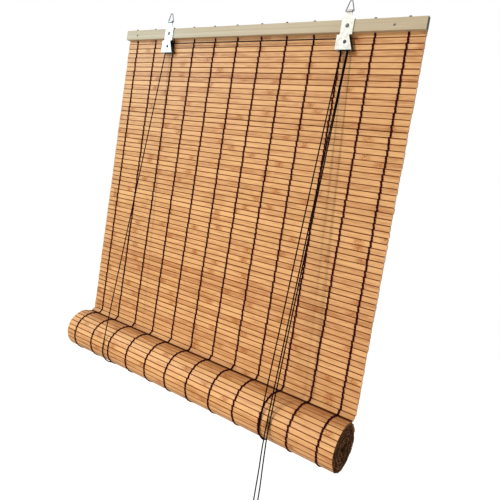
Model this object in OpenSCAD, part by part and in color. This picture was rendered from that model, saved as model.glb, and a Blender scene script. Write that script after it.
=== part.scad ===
// Bamboo roll-up blind: a woven slat mat clamped in a wooden head rail,
// partly rolled up from below and held in two cord slings.
// Frame: X along the rail, -Y towards the room, +Z up.
// The origin is midway between the hooks' seats in the two hanging loops.

/* [Mat] */
// Width of the woven mat
mat_w = 600; // [400:10:900]
// Number of warp threads across the mat
thread_count = 12; // [6:1:14]
// Distance from one slat to the next
slat_pitch = 8.8; // [7:0.1:11]
// Open joint between two slats
slat_gap = 0.8; // [0.4:0.1:1.2]
// Depth of the joint on each face of the mat
groove = 0.55; // [0.3:0.05:0.7]
// Thickness of a slat
slat_t = 1.6; // [1.5:0.1:2.2]
// Slats that hang straight below the clamped one
hang_slats = 63; // [20:1:90]
// Height of mat held between the battens
clamp_h = 10.4; // [6:0.2:14]
// Lean of the last slat where the mat folds on to the roll
fold_angle = 50; // [30:1:60]
// Width of a warp thread
thread_w = 2.4; // [1:0.1:3]
// Height of a warp thread above the slats
thread_t = 0.7; // [0.4:0.1:0.9]

/* [Roll] */
// Radius of the roll over its outer turn
roll_r = 37; // [24:0.5:55]
// Radius of the hollow in the middle of the roll
core_r = 8; // [7:0.5:12]
// Air between two turns
turn_gap = 1.4; // [1:0.1:2.5]
// Slats that lie flat between the fold and the top of the roll
bridge_slats = 2; // [1:1:3]
// Droop of those slats towards the fold
bridge_angle = 5; // [2:1:9]
// How far round the roll the warp threads show
thread_turn = 318; // [240:1:330]

/* [Head rail] */
// How far the front batten stands past the mat at each end
rail_overhang = 1; // [0:0.5:6]
// Height of both battens
rail_h = 18; // [16:0.5:30]
// Thickness of the front batten
batten_t = 8.2; // [8:0.2:12]
// Thickness of the rear batten
rear_batten_t = 4.6; // [4:0.2:8]
// How much shorter the rear batten is at each end
rear_inset = 4; // [2:1:12]
// Rounding of the battens' long edges
batten_edge = 0.8; // [0.2:0.1:1.5]
// Distance of the left nail from the rail's end
nail_inset_left = 30; // [15:1:60]
// Distance of the right nail from the rail's end
nail_inset_right = 46; // [15:1:60]
// Radius of a nail's shank
nail_r = 0.9; // [0.7:0.1:1.3]
// Radius of a nail's head
nail_head_r = 1.9; // [1.6:0.1:2.6]
// Distance of the nails below the rail's middle
nail_drop = 1.2; // [1:0.1:4]
// Length of wood left behind a nail's tip
nail_cover = 1; // [0.5:0.1:2]

/* [Bracket] */
// Distance between the two brackets
bracket_span = 366; // [200:2:520]
// Width of the bracket's plate
plate_w = 20; // [16:0.5:26]
// Sheet thickness of the bracket
sheet_t = 1.2; // [1:0.1:1.5]
// Width of the neck that carries the loop
neck_w = 9; // [7:0.5:11]
// Height from the rail's top to the loop's pivot
pivot_rise = 12; // [8:0.5:16]
// Height of the sloped shoulders between the plate and the neck
shoulder_rise = 4; // [2:0.5:6]
// Depth of the shoulder tabs that lie on the rail's top
tab_d = 7; // [5:0.5:8]
// Height of the pulley housing
housing_h = 22; // [20:0.5:28]
// Distance of the housing below the rail
housing_drop = 4; // [3:0.5:6]
// How far the housing stands out on its open side
housing_lip = 4.5; // [1:0.5:6]
// How far inside the plate's edge the housing's closed side starts
housing_notch = 5; // [3:0.5:5.5]
// How far the housing's closed side flares out towards its foot
housing_flare = 8; // [7:0.5:10]
// Radius of the rolled edge at the foot of the closed side
lip_r = 1.3; // [1:0.1:1.6]
// Radius of the hole that lets the cord out through the closed side
cord_hole_r = 1.7; // [1.4:0.1:1.8]
// Height of the pulley's axis below the housing's top
axis_drop = 10.5; // [9:0.5:12]
// Radius of the screw's shank
screw_r = 1.6; // [1.2:0.1:2]
// Radius of the screw's head
screw_head_r = 3.1; // [2.6:0.1:4]
// Height of the screw's head
screw_head_h = 1.4; // [1:0.1:2]
// Length of the screw in the wood
screw_l = 6; // [4:0.5:7]

/* [Pulley and loop] */
// Outer radius of the pulley
pulley_r = 6.4; // [6:0.1:7]
// Width of the pulley
pulley_w = 5.4; // [5:0.1:5.6]
// Radius of the groove's floor
groove_r = 4; // [3.6:0.1:4.2]
// Thickness of the pulley's rims
rim_t = 0.4; // [0.3:0.1:0.6]
// Radius of the rivet that the pulley turns on
rivet_r = 1.6; // [1.2:0.1:2]
// Radius of the rivet's head
rivet_head_r = 2.7; // [2.4:0.1:3.4]
// Height of the rivet's head
rivet_head_h = 0.7; // [0.5:0.1:1]
// Wire diameter of the hanging loop
wire_d = 1.6; // [1.2:0.1:2]
// Width of the loop at its base, between wire centres
loop_w = 13.5; // [13:0.5:18]
// Height of the loop from its pivot to the hook's seat
loop_h = 14; // [13:0.5:20]
// Width of the loop's top, between wire centres
loop_top = 3.6; // [3:0.1:6]

/* [Cord] */
// Diameter of the lifting cord
cord_d = 2; // [1.6:0.1:2]
// Height of a tied hank of spare cord
hank_h = 56.8; // [48:0.2:70]
// Width of a tied hank
hank_w = 22.8; // [18:0.2:24]
// Depth of a tied hank
hank_d = 16.2; // [12:0.2:20]
// Distance of the incoming cord's middle from the hank's front
hank_lead = 1.8; // [1.2:0.1:3]

/* [Hidden] */
function two_digits(i) = str(i < 10 ? "0" : "", i);
function thread_name(i) = str("warp_thread_", two_digits(i));
$fn = 48;

// Clearances: drilled holes, turning fits and running gaps
fit = 0.05;
running = 0.1;
seat = 0.3;

// Heights, from the hook's seat in the loops downwards
pivot_z = -loop_h;
rail_top = pivot_z - pivot_rise;
rail_bottom = rail_top - rail_h;
rail_mid = rail_top - rail_h / 2;
nail_z = rail_mid - nail_drop;
mat_top = rail_bottom + clamp_h;
fold_z = mat_top - (hang_slats + 1) * slat_pitch;

// Depths, from the bracket's plate back to the wall
rail_front = sheet_t / 2;
mat_front = rail_front + batten_t;
mat_back = mat_front + slat_t;
rail_back = mat_back + rear_batten_t;

// Colours
bamboo = [0.80, 0.55, 0.33];
thread_brown = [0.22, 0.09, 0.06];
pale_wood = [0.86, 0.77, 0.60];
zinc = [0.80, 0.81, 0.82];
white_nylon = [0.88, 0.87, 0.83];
black_cord = [0.07, 0.05, 0.05];

// Lays a drawing made in (y, z) along X, centred on x
module across(x, w) {
    translate([x - w / 2, 0, 0])
        rotate([90, 0, 90])
            linear_extrude(w)
                children();
}

// Stands a drawing made in (x, z) along Y, from y0 to y1
module stand(y0, y1) {
    translate([0, y1, 0])
        rotate([90, 0, 0])
            linear_extrude(y1 - y0)
                children();
}

// A round bar along Y, from y0 to y1
module bar_y(x, z, r, y0, y1) {
    translate([x, y0, z])
        rotate([-90, 0, 0])
            cylinder(h = y1 - y0, r = r);
}

// Turns a profile drawn in (r, y) about an axis along Y
module turned_y(x, z) {
    translate([x, 0, z])
        rotate([-90, 0, 0])
            rotate_extrude()
                children();
}

// A low domed head on the front of a plate, from face y towards the room
module domed_head(x, z, r, h, y) {
    ball = (r * r + h * h) / (2 * h);
    intersection() {
        translate([x, y - h + ball, z]) sphere(r = ball, $fn = 64);
        bar_y(x, z, r + 1, y - h - 1, y);
    }
}

// Head rail

rail_w = mat_w + 2 * rail_overhang;
nail_places = [-rail_w / 2 + nail_inset_left, rail_w / 2 - nail_inset_right];
nail_tip = rail_back - nail_cover;
bracket_places = [-bracket_span / 2, bracket_span / 2];
screw_tip = rail_front + screw_l;

module nail_holes() {
    for (x = nail_places)
        bar_y(x, nail_z, nail_r + fit, rail_front - 1, nail_tip + fit);
}

module batten(w, y0, y1) {
    e = batten_edge;
    across(0, w)
        polygon([
            [y0 + e, rail_bottom], [y1, rail_bottom], [y1, rail_top], [y0 + e, rail_top],
            [y0 + e * 0.3, rail_top - e * 0.3], [y0, rail_top - e],
            [y0, rail_bottom + e], [y0 + e * 0.3, rail_bottom + e * 0.3]]);
}

module front_batten() {
    color(pale_wood)
        difference() {
            batten(rail_w, rail_front, mat_front);
            nail_holes();
            for (x = bracket_places)
                bar_y(x, rail_mid, screw_r + fit, rail_front - 1, screw_tip + fit);
        }
}

module rear_batten() {
    color(pale_wood)
        difference() {
            across(0, rail_w - 2 * rear_inset)
                polygon([[mat_back, rail_bottom], [rail_back, rail_bottom],
                         [rail_back, rail_top], [mat_back, rail_top]]);
            nail_holes();
        }
}

module rail_nails() {
    color(zinc)
        for (x = nail_places) {
            bar_y(x, nail_z, nail_r, rail_front - fit, nail_tip);
            domed_head(x, nail_z, nail_head_r, nail_r, rail_front);
        }
}

// Woven mat: joints between slats are points (y, z) on its front face

function unit(v) = v / norm(v);
function outward(d) = [d[1], -d[0]];

// Front face of one slat from joint p to joint q, sunk at both joints
function slat_front(p, q) = let (d = unit(q - p), n = outward(d), g = d * slat_gap / 2)
    [p + g - n * groove, p + g, q - g, q - g - n * groove];

// Back face of the same slat, from joint q to joint p
function slat_rear(p, q) = let (d = unit(q - p), n = outward(d), g = d * slat_gap / 2)
    [q - g - n * (slat_t - groove), q - g - n * slat_t, p + g - n * slat_t, p + g - n * (slat_t - groove)];

// Way to the corner of two offset sides whose outward ways are a and b
function mitre(a, b) = (a + b) / (1 + a * b);

// Fold: the last hanging slat leans forward, and the mat turns flat at its lower edge
fold_way = [-sin(fold_angle), -cos(fold_angle)];
bridge_way = [-cos(bridge_angle), sin(bridge_angle)];
crease = [mat_front, fold_z] + slat_pitch * fold_way;
crease_out = mitre(outward(fold_way), outward(bridge_way));
crease_web = [crease - crease_out * groove, crease - crease_out * (slat_t - groove)];
hang_joints = concat(
    [for (k = [0:hang_slats + 1]) [mat_front, mat_top - k * slat_pitch]],
    [crease]);

module hanging_slats() {
    last = len(hang_joints) - 2;
    fronts = [for (k = [0:last]) each slat_front(hang_joints[k], hang_joints[k + 1])];
    rears = [for (k = [last:-1:0]) each slat_rear(hang_joints[k], hang_joints[k + 1])];
    color(bamboo)
        difference() {
            across(0, mat_w) polygon(concat(fronts, crease_web, rears));
            nail_holes();
        }
}

// Roll: slats lie flat from the fold to the roll's top, then wind in from the front
roll_centre = crease + bridge_slats * slat_pitch * bridge_way - [0, roll_r];
turn_pitch = slat_t + turn_gap;
function turn_r(a) = roll_r - turn_pitch * a / 360;
function slat_turn(a) = slat_pitch / turn_r(a) * 180 / PI;
function spiral(a, inset) = roll_centre + (turn_r(a) - inset) * [-sin(a), cos(a)];
slat_angles = [for (a = 0; turn_r(a) > core_r + turn_pitch; a = a + slat_turn(a)) a];
outer_slats = len([for (a = slat_angles) if (a < 360) a]);
bridge_joints = [for (k = [0:bridge_slats - 1]) crease + k * slat_pitch * bridge_way];
outer_joints = concat(bridge_joints, [for (i = [0:outer_slats]) spiral(slat_angles[i], 0)]);

module rolled_slats() {
    up = outward(bridge_way);
    faces = [for (k = [0:len(outer_joints) - 2]) each slat_front(outer_joints[k], outer_joints[k + 1])];
    turns = [for (i = [outer_slats:len(slat_angles) - 1]) spiral(slat_angles[i], 0)];
    inside = [for (i = [len(slat_angles) - 1:-1:0]) spiral(slat_angles[i], slat_t)];
    start = crease + bridge_way * slat_gap / 2;
    web_end = [start - up * slat_t, start - up * (slat_t - groove), crease_web[1], crease_web[0]];
    color(bamboo)
        across(0, mat_w) polygon(concat(faces, turns, inside, web_end));
}

// Warp threads: flat bands down the mat's front, into the fold and round the roll
thread_pitch = mat_w / thread_count;
thread_joints = concat(
    [[mat_front, rail_bottom], [mat_front, fold_z]],
    bridge_joints,
    [for (a = slat_angles) if (a < thread_turn) spiral(a, 0)]);

// Point k of a line, moved out by t along the mean of its two sides
function moved_out(line, k, t) = let (
    before = outward(unit(line[max(k, 1)] - line[max(k, 1) - 1])),
    next = min(k, len(line) - 2),
    after = outward(unit(line[next + 1] - line[next])))
    line[k] + t * mitre(before, after);

module warp_thread(i) {
    x = -mat_w / 2 + (i - 0.5) * thread_pitch;
    over = [for (k = [len(thread_joints) - 1:-1:0]) moved_out(thread_joints, k, thread_t)];
    color(thread_brown)
        across(x, thread_w) polygon(concat(thread_joints, over));
}

// Brackets: one bent sheet with a neck, shoulder tabs and a pulley housing

housing_top = rail_bottom - housing_drop;
housing_bottom = housing_top - housing_h;
axis_z = housing_top - axis_drop;
cheek_back = mat_front - thread_t - seat;
cheek_front = cheek_back - sheet_t;
axis_mid = (rail_front + cheek_front) / 2;
barrel_r = wire_d / 2 + running + sheet_t;

// Lane of the cord that runs on to the other bracket, over the pulley's top
lane_y = axis_mid - (cord_d + running) / 2;
lane_z = axis_z + pulley_r - cord_d / 2;

// Edges of the housing's closed side, from its top to its foot
side_top = plate_w / 2 - housing_notch;
side_foot = side_top + housing_flare;

module housing_cheek() {
    polygon([
        [-plate_w / 2 - housing_lip, housing_top], [-plate_w / 2 - housing_lip, housing_bottom],
        [side_foot, housing_bottom], [side_top, housing_top]]);
}

module housing_side() {
    polygon([
        [side_top - sheet_t, housing_top], [side_foot - sheet_t, housing_bottom],
        [side_foot, housing_bottom], [side_top, housing_top]]);
}

module bracket(x) {
    shoulder = (plate_w - neck_w) / 2;
    color(zinc)
        translate([x, 0, 0])
            difference() {
                union() {
                    stand(-sheet_t / 2, sheet_t / 2) {
                        translate([-neck_w / 2, rail_top]) square([neck_w, pivot_rise]);
                        translate([-plate_w / 2, housing_top])
                            square([plate_w, rail_top + sheet_t - housing_top]);
                        polygon([
                            [-plate_w / 2, rail_top + sheet_t], [plate_w / 2, rail_top + sheet_t],
                            [neck_w / 2, rail_top + sheet_t + shoulder_rise],
                            [-neck_w / 2, rail_top + sheet_t + shoulder_rise]]);
                        housing_cheek();
                    }
                    for (side = [-1, 1])
                        translate([side * (neck_w + shoulder) / 2 - shoulder / 2, -sheet_t / 2, rail_top])
                            cube([shoulder, sheet_t / 2 + tab_d, sheet_t]);
                    stand(-sheet_t / 2, cheek_back) housing_side();
                    stand(cheek_front, cheek_back) housing_cheek();
                    bar_y(side_foot - sheet_t / 2, housing_bottom, lip_r, 0, cheek_back);
                    translate([-neck_w / 2, 0, pivot_z])
                        rotate([0, 90, 0])
                            cylinder(h = neck_w, r = barrel_r);
                }
                translate([-neck_w, 0, pivot_z])
                    rotate([0, 90, 0])
                        cylinder(h = 2 * neck_w, r = wire_d / 2 + running);
                bar_y(0, rail_mid, screw_r + fit, -sheet_t, sheet_t);
                bar_y(0, axis_z, rivet_r + fit, -sheet_t, cheek_back + sheet_t);
                translate([0, lane_y, lane_z])
                    rotate([0, 90, 0])
                        cylinder(h = plate_w, r = cord_hole_r);
            }
}

module bracket_screw(x) {
    color(zinc) {
        bar_y(x, rail_mid, screw_r, -sheet_t / 2 - fit, screw_tip);
        domed_head(x, rail_mid, screw_head_r, screw_head_h, -sheet_t / 2);
    }
}

module rivet(x) {
    color(zinc) {
        bar_y(x, axis_z, rivet_r, -sheet_t / 2 - fit, cheek_back);
        domed_head(x, axis_z, rivet_head_r, rivet_head_h, -sheet_t / 2);
    }
}

module pulley(x) {
    half = pulley_w / 2;
    bore = rivet_r + running;
    color(white_nylon)
        turned_y(x, axis_z)
            translate([0, axis_mid])
                polygon([
                    [bore, -half], [pulley_r, -half], [pulley_r, -half + rim_t],
                    [groove_r, -half + 1.5 * rim_t], [groove_r, half - 1.5 * rim_t],
                    [pulley_r, half - rim_t], [pulley_r, half], [bore, half]]);
}

// A round wire between two points (x, z) in the plane of the plate
module wire(a, b) {
    way = b - a;
    translate([a[0], 0, a[1]])
        rotate([0, atan2(way[0], way[1]), 0])
            cylinder(h = norm(way), d = wire_d);
}

// Bent wire: a base through the barrel, two sides and a short top that the hook carries
loop_corners = [
    [-loop_w / 2, pivot_z], [loop_w / 2, pivot_z],
    [loop_top / 2, wire_d / 2], [-loop_top / 2, wire_d / 2]];

module loop(x) {
    n = len(loop_corners);
    color(zinc)
        translate([x, 0, 0])
            for (k = [0:n - 1]) {
                wire(loop_corners[k], loop_corners[(k + 1) % n]);
                translate([loop_corners[k][0], 0, loop_corners[k][1]]) sphere(d = wire_d);
            }
}

// Cords: chosen points (x, y, z) from the rear batten down behind the mat, under the
// roll and up to the pulleys, then down to the hank at the pull end
LEFT_ROUTE = [
    [-188, 12.7, -44], [-188, 12.7, -60], [-188, 15.5, -240], [-188, 18.5, -440],
    [-188, 21.5, -637.5], [-188, 19.5, -651], [-188, 13, -662], [-188, 3, -670.5],
    [-188, -9, -675], [-188, -22, -675], [-188, -34.5, -671], [-188, -45, -662.5],
    [-188, -51.5, -651], [-188, -54, -638], [-188, -36, -456], [-188, -18, -274],
    [-188.2, 1.6, -75], [-188.4, 2.55, -58.5], [-187.6, 2.55, -55.8], [-185.7, 2.55, -53.8],
    [-183, 2.55, -53.1], [0, 2.55, -53.1], [183, 2.55, -53.1], [185.7, 2.55, -53.8],
    [187.6, 2.55, -55.8], [188.4, 2.55, -58.5], [188.5, 1.6, -75], [189, -18, -274],
    [189.5, -36, -456], [190.5, -54, -638], [190.5, -54.5, -655], [190, -54, -680],
    [190.5, -53.5, -705], [190, -53, -730], [190, -53, -752], [190, -53, -774]];
RIGHT_ROUTE = [
    [178, 12.7, -44], [178, 12.7, -60], [178, 15.5, -240], [178, 18.5, -440],
    [178, 21.5, -637.5], [178, 19.5, -651], [178, 13, -662], [178, 3, -670.5],
    [178, -9, -675], [178, -22, -675], [178, -34.5, -671], [178, -45, -662.5],
    [178, -51.5, -651], [178, -54, -638], [178, -36, -456], [178, -18, -274],
    [177.8, 3.4, -75], [177.6, 4.65, -58.5], [178.4, 4.65, -55.8], [180.3, 4.65, -53.8],
    [183, 4.65, -53.1], [185.7, 4.65, -53.8], [187.6, 4.65, -55.8], [188.4, 4.65, -58.5],
    [189.4, 3.6, -75], [191.2, -17, -274], [193, -35.5, -456], [195, -54, -638],
    [195, -54.5, -655], [195.5, -54, -680], [196, -53.5, -705], [197, -53, -730],
    [197, -53, -745], [197, -53, -760]];
cord_sides = 8;

// Way of a route at point k
function route_way(route, k) = unit(route[min(k + 1, len(route) - 1)] - route[max(k - 1, 0)]);

// A side way carried on to a new way d without twisting
function carried(side, d) = unit(side - (side * d) * d);

function cord_ring(centre, d, side) = let (other = cross(d, side))
    [for (j = [0:cord_sides - 1]) let (a = 360 * (j + 0.5) / cord_sides)
        centre + cord_d / 2 * (cos(a) * side + sin(a) * other)];

function cord_rings(route) = [
    for (k = 0, side = unit(cross(route_way(route, 0), [1, 0, 0]));
         k < len(route);
         k = k + 1, side = carried(side, route_way(route, min(k, len(route) - 1))))
        cord_ring(route[k], route_way(route, k), side)];

module cord(route) {
    n = cord_sides;
    last = len(route) - 1;
    points = [for (ring = cord_rings(route)) each ring];
    walls = [for (k = [0:last - 1], j = [0:n - 1]) let (a = k * n + j, b = k * n + (j + 1) % n)
        each [[a, b + n, b], [a, a + n, b + n]]];
    first_cap = [for (j = [0:n - 1]) j];
    last_cap = [for (j = [n - 1:-1:0]) last * n + j];
    color(black_cord)
        polyhedron(points, concat([first_cap], walls, [last_cap]));
}

// Spare cord folded into a hank on one side of the end of its route, which runs in at a shoulder
module cord_hank(route, side) {
    end = route[len(route) - 1];
    r = hank_w / 2;
    run = hank_h - hank_w;
    shoulder = sqrt(r * r - (r - cord_d) * (r - cord_d)) + fit;
    color(black_cord)
        translate([end[0] + side * (r - cord_d / 2), 0, end[2] - shoulder])
            stand(end[1] - hank_lead, end[1] - hank_lead + hank_d) {
                translate([-r, -run]) square([hank_w, run]);
                circle(r = r);
                translate([0, -run]) circle(r = r);
            }
}

front_batten();
rear_batten();
rail_nails();
hanging_slats();
rolled_slats();
for (i = [1:thread_count])
    warp_thread(i);
bracket(bracket_places[0]);  // left_bracket
bracket(bracket_places[1]);  // right_bracket
bracket_screw(bracket_places[0]);  // left_bracket_screw
bracket_screw(bracket_places[1]);  // right_bracket_screw
rivet(bracket_places[0]);  // left_rivet
rivet(bracket_places[1]);  // right_rivet
pulley(bracket_places[0]);  // left_pulley
pulley(bracket_places[1]);  // right_pulley
loop(bracket_places[0]);  // left_loop
loop(bracket_places[1]);  // right_loop
cord(LEFT_ROUTE);  // left_cord
cord(RIGHT_ROUTE);  // right_cord
cord_hank(LEFT_ROUTE, -1);  // left_cord_hank
cord_hank(RIGHT_ROUTE, 1);  // right_cord_hank
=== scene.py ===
"""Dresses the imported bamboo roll-up blind: woven slats, twisted threads, cords and finishes."""

import math
import random

import bmesh
import bpy
from bpy.props import FloatProperty, FloatVectorProperty, IntProperty, PointerProperty
from mathutils import Matrix, Vector, noise


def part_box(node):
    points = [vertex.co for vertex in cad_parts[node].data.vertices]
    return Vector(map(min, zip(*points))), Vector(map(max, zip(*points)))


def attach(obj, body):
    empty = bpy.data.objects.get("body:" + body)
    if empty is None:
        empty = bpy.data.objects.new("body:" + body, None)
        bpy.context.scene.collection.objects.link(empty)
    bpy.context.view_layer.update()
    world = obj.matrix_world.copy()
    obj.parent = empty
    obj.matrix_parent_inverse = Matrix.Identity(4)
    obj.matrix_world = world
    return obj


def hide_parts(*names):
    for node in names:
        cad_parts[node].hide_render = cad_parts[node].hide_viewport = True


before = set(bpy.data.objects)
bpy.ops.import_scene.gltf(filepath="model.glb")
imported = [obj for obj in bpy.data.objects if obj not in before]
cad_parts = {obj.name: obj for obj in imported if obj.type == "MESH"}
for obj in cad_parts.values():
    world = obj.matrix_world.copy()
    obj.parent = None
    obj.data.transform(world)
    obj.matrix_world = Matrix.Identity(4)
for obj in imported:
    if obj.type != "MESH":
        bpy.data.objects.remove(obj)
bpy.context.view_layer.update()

bl_info = {
    "name": "Bamboo Roll-up Blind",
    "version": (1, 0, 0),
    "blender": (4, 5, 0),
    "location": "3D View > Sidebar > Blind",
    "description": "Builds the woven mat, the threads, the cords and the finishes of a bamboo roll-up blind",
    "category": "Object",
}

BODY = "blind"
MM = 0.001

# Sizes of the CAD model that its boxes don't show
BRACKET_SHEET = 1.2 * MM
CAD_SLAT_GAP = 0.8 * MM

# Places read from the frame
RAIL_LOW, RAIL_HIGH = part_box("front_batten")
RAIL_BOTTOM = RAIL_LOW.z
RAIL_TOP = RAIL_HIGH.z
BRACKET_FRONT = RAIL_LOW.y - BRACKET_SHEET
MAT_LOW, MAT_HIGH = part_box("hanging_slats")
MAT_FRONT = RAIL_HIGH.y
MAT_TOP = MAT_HIGH.z + CAD_SLAT_GAP / 2
THREADS = sorted(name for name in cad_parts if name.startswith("warp_thread_"))

# Names that the meshes and the finishes share
SLAT_UV = "slat_uv"
SLAT_TONE = "slat_tone"
BAMBOO = "split bamboo"
ROUGH_FIBRE = "rough fibre"


# Settings

def length_setting(name, description, default):
    """A length property."""
    return FloatProperty(name=name, description=description, default=default, unit="LENGTH")


def angle_setting(name, description, degrees):
    """An angle property, with its default in degrees."""
    return FloatProperty(name=name, description=description, default=math.radians(degrees), subtype="ANGLE")


def count_setting(name, description, default):
    """A whole number property."""
    return IntProperty(name=name, description=description, default=default)


def colour_setting(name, description, *default):
    """A colour property."""
    return FloatVectorProperty(name=name, description=description, default=default, subtype="COLOR")


class MatSizes(bpy.types.PropertyGroup):
    """Sizes of the woven mat"""
    slat_pitch: length_setting("Slat pitch", "Distance from one slat to the next", 8.8 * MM)
    slat_gap: length_setting("Slat gap", "Open joint between two slats", 0.7 * MM)
    slat_thickness: length_setting("Slat thickness", "Thickness of a slat", 1.6 * MM)
    edge_round: length_setting("Edge rounding", "Rounding of a slat's long edges", 0.4 * MM)
    uneven_ends: length_setting("Uneven ends", "How far the slats' ends stray", 0.5 * MM)
    waviness: length_setting("Waviness", "How far a slat strays from a straight line", 0.16 * MM)
    hanging_slats: count_setting("Hanging slats", "Slats that hang below the clamped one", 63)
    ply_radius: length_setting("Ply radius", "Radius of one ply of a thread", 1.0 * MM)
    ply_lay: length_setting("Ply lay", "Length of one twist of the plies", 7.4 * MM)


class RollSizes(bpy.types.PropertyGroup):
    """Sizes of the fold and the roll"""
    fold_angle: angle_setting("Fold angle", "Lean of the last hanging slat", 50)
    bridge_angle: angle_setting("Bridge angle", "Rise of the slats from the crease to the roll's top", 5)
    bridge_slats: count_setting("Bridge slats", "Slats between the fold and the roll's top", 2)
    radius: length_setting("Radius", "Radius over the roll's outer turn", 37 * MM)
    core: length_setting("Core", "Radius of the innermost turn", 5 * MM)
    turn_gap: length_setting("Turn gap", "Air between two turns", 1.4 * MM)
    loose_rise: length_setting("Loose rise", "How far the loose mat stands out under the fold", 2.8 * MM)
    thread_turn: angle_setting("Thread turn", "How far round the roll the threads show", 318)


class CordSizes(bpy.types.PropertyGroup):
    """Sizes of the lifting cords"""
    diameter: length_setting("Diameter", "Diameter of the cord", 2.0 * MM)
    left_length: length_setting("Left length", "Whole length of the left cord", 4.83)
    right_length: length_setting("Right length", "Whole length of the right cord", 4.45)
    hank_run: length_setting("Hank run", "Straight run of a hank's turns", 34 * MM)
    hank_pitch: length_setting("Hank pitch", "Distance between a hank's turns", 2.1 * MM)
    hank_radius: length_setting("Hank radius", "Bend of a hank's outer turns", 10.4 * MM)
    hank_turns: count_setting("Hank turns", "Turns in each layer of a hank", 6)


class BlindColours(bpy.types.PropertyGroup):
    """Colours of the blind's finishes"""
    bamboo_pale: colour_setting("Pale bamboo", "Lightest slats", 0.765, 0.420, 0.175)
    bamboo_deep: colour_setting("Deep bamboo", "Darkest slats", 0.385, 0.135, 0.038)
    node_mark: colour_setting("Node marks", "Mottled bands at the bamboo's nodes", 0.39, 0.125, 0.026)
    joint_brown: colour_setting("Joint brown", "Slat edges in the joints", 0.30, 0.088, 0.018)
    end_brown: colour_setting("Slat ends", "Sawn ends of the slats", 0.33, 0.155, 0.075)
    # Dark fibre of pores and dust, which also paints the shade of the open crease and of the roll's inner
    # turns
    dark_fibre_and_shade: colour_setting("Dark fibre", "Pores, dust and the open crease", 0.014, 0.007, 0.004)
    thread: colour_setting("Thread", "Warp threads", 0.036, 0.004, 0.007)
    pine_pale: colour_setting("Pale pine", "Early wood of the battens", 0.52, 0.43, 0.285)
    pine_grain: colour_setting("Pine grain", "Late wood of the battens", 0.40, 0.29, 0.15)
    # The dark pine end grain also paints the shade on the battens' sawn ends
    pine_end: colour_setting("Pine end grain", "Sawn ends of the battens", 0.050, 0.040, 0.028)
    zinc: colour_setting("Zinc", "Plated steel", 0.37, 0.37, 0.345)
    steel: colour_setting("Steel", "Screws, nails and wire", 0.13, 0.13, 0.135)
    # The rivets' dark colour paints the dark reflection that their domed heads show
    rivet: colour_setting("Rivet", "Dark rivets", 0.045, 0.045, 0.048)
    # Black nylon pulleys; their black also paints the shade inside the brackets' housings
    nylon: colour_setting("Nylon", "Pulleys", 0.030, 0.028, 0.026)
    cord: colour_setting("Cord", "Lifting cords", 0.003, 0.003, 0.003)


# Shader helpers

def is_socket(value):
    """Whether a value comes from another node."""
    return isinstance(value, bpy.types.NodeSocket)


def feed(tree, socket, value):
    """Links a socket to another one, or sets its value."""
    if is_socket(value):
        tree.links.new(value, socket)
    else:
        socket.default_value = value


def new_node(tree, kind, **inputs):
    """A node of that kind, with the named inputs set or linked."""
    made = tree.nodes.new(kind)
    for name, value in inputs.items():
        feed(tree, made.inputs[name], value)
    return made


def math_node(tree, operation, *values):
    """The result of one Math node."""
    made = tree.nodes.new("ShaderNodeMath")
    made.operation = operation
    for socket, value in zip(made.inputs, values):
        feed(tree, socket, value)
    return made.outputs[0]


# Numbers of a Mix node's sockets when it mixes colours
MIX_FACTOR, MIX_FIRST, MIX_SECOND, MIX_RESULT = 0, 6, 7, 2


def mix_colour(tree, factor, first, second):
    """The colour between two colours."""
    made = tree.nodes.new("ShaderNodeMix")
    made.data_type = "RGBA"
    feed(tree, made.inputs[MIX_FACTOR], factor)
    for number, colour in ((MIX_FIRST, first), (MIX_SECOND, second)):
        feed(tree, made.inputs[number], colour if is_socket(colour) else (*colour, 1.0))
    return made.outputs[MIX_RESULT]


def smooth_range(tree, value, low, high, to_low=0.0, to_high=1.0):
    """A value carried smoothly from one range to another."""
    made = new_node(tree, "ShaderNodeMapRange", Value=value)
    made.interpolation_type = "SMOOTHSTEP"
    for name, number in (("From Min", low), ("From Max", high), ("To Min", to_low), ("To Max", to_high)):
        made.inputs[name].default_value = number
    return made.outputs["Result"]


def new_group(name, inputs, outputs):
    """An empty node group with float or vector inputs and float outputs."""
    group = bpy.data.node_groups.new(name, "ShaderNodeTree")
    for label, kind in inputs:
        group.interface.new_socket(label, in_out="INPUT", socket_type=kind)
    for label in outputs:
        group.interface.new_socket(label, in_out="OUTPUT", socket_type="NodeSocketFloat")
    return group, group.nodes.new("NodeGroupInput"), group.nodes.new("NodeGroupOutput")


def streak_group():
    """Fibres that run along X of a vector: fine streaks and broad drifts of tone."""
    name = "Fibre streaks"
    if name in bpy.data.node_groups:
        return bpy.data.node_groups[name]
    group, entry, leave = new_group(
        name,
        [("Vector", "NodeSocketVector"), ("Along", "NodeSocketFloat"), ("Across", "NodeSocketFloat")],
        ["Fine", "Broad"])
    split = new_node(group, "ShaderNodeSeparateXYZ", Vector=entry.outputs["Vector"])
    for label, share, detail in (("Fine", 1.0, 3.0), ("Broad", 0.22, 2.0)):
        along = math_node(group, "MULTIPLY", entry.outputs["Along"], share)
        across = math_node(group, "MULTIPLY", entry.outputs["Across"], share)
        place = new_node(
            group, "ShaderNodeCombineXYZ",
            X=math_node(group, "MULTIPLY", split.outputs["X"], along),
            Y=math_node(group, "MULTIPLY", split.outputs["Y"], across),
            Z=split.outputs["Z"])
        streak = new_node(group, "ShaderNodeTexNoise", Vector=place.outputs[0], Scale=1.0, Detail=detail)
        group.links.new(streak.outputs[0], leave.inputs[label])
    return group


# How much finer the specks are than the patches
SPECK_RATE = 7.0


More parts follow.
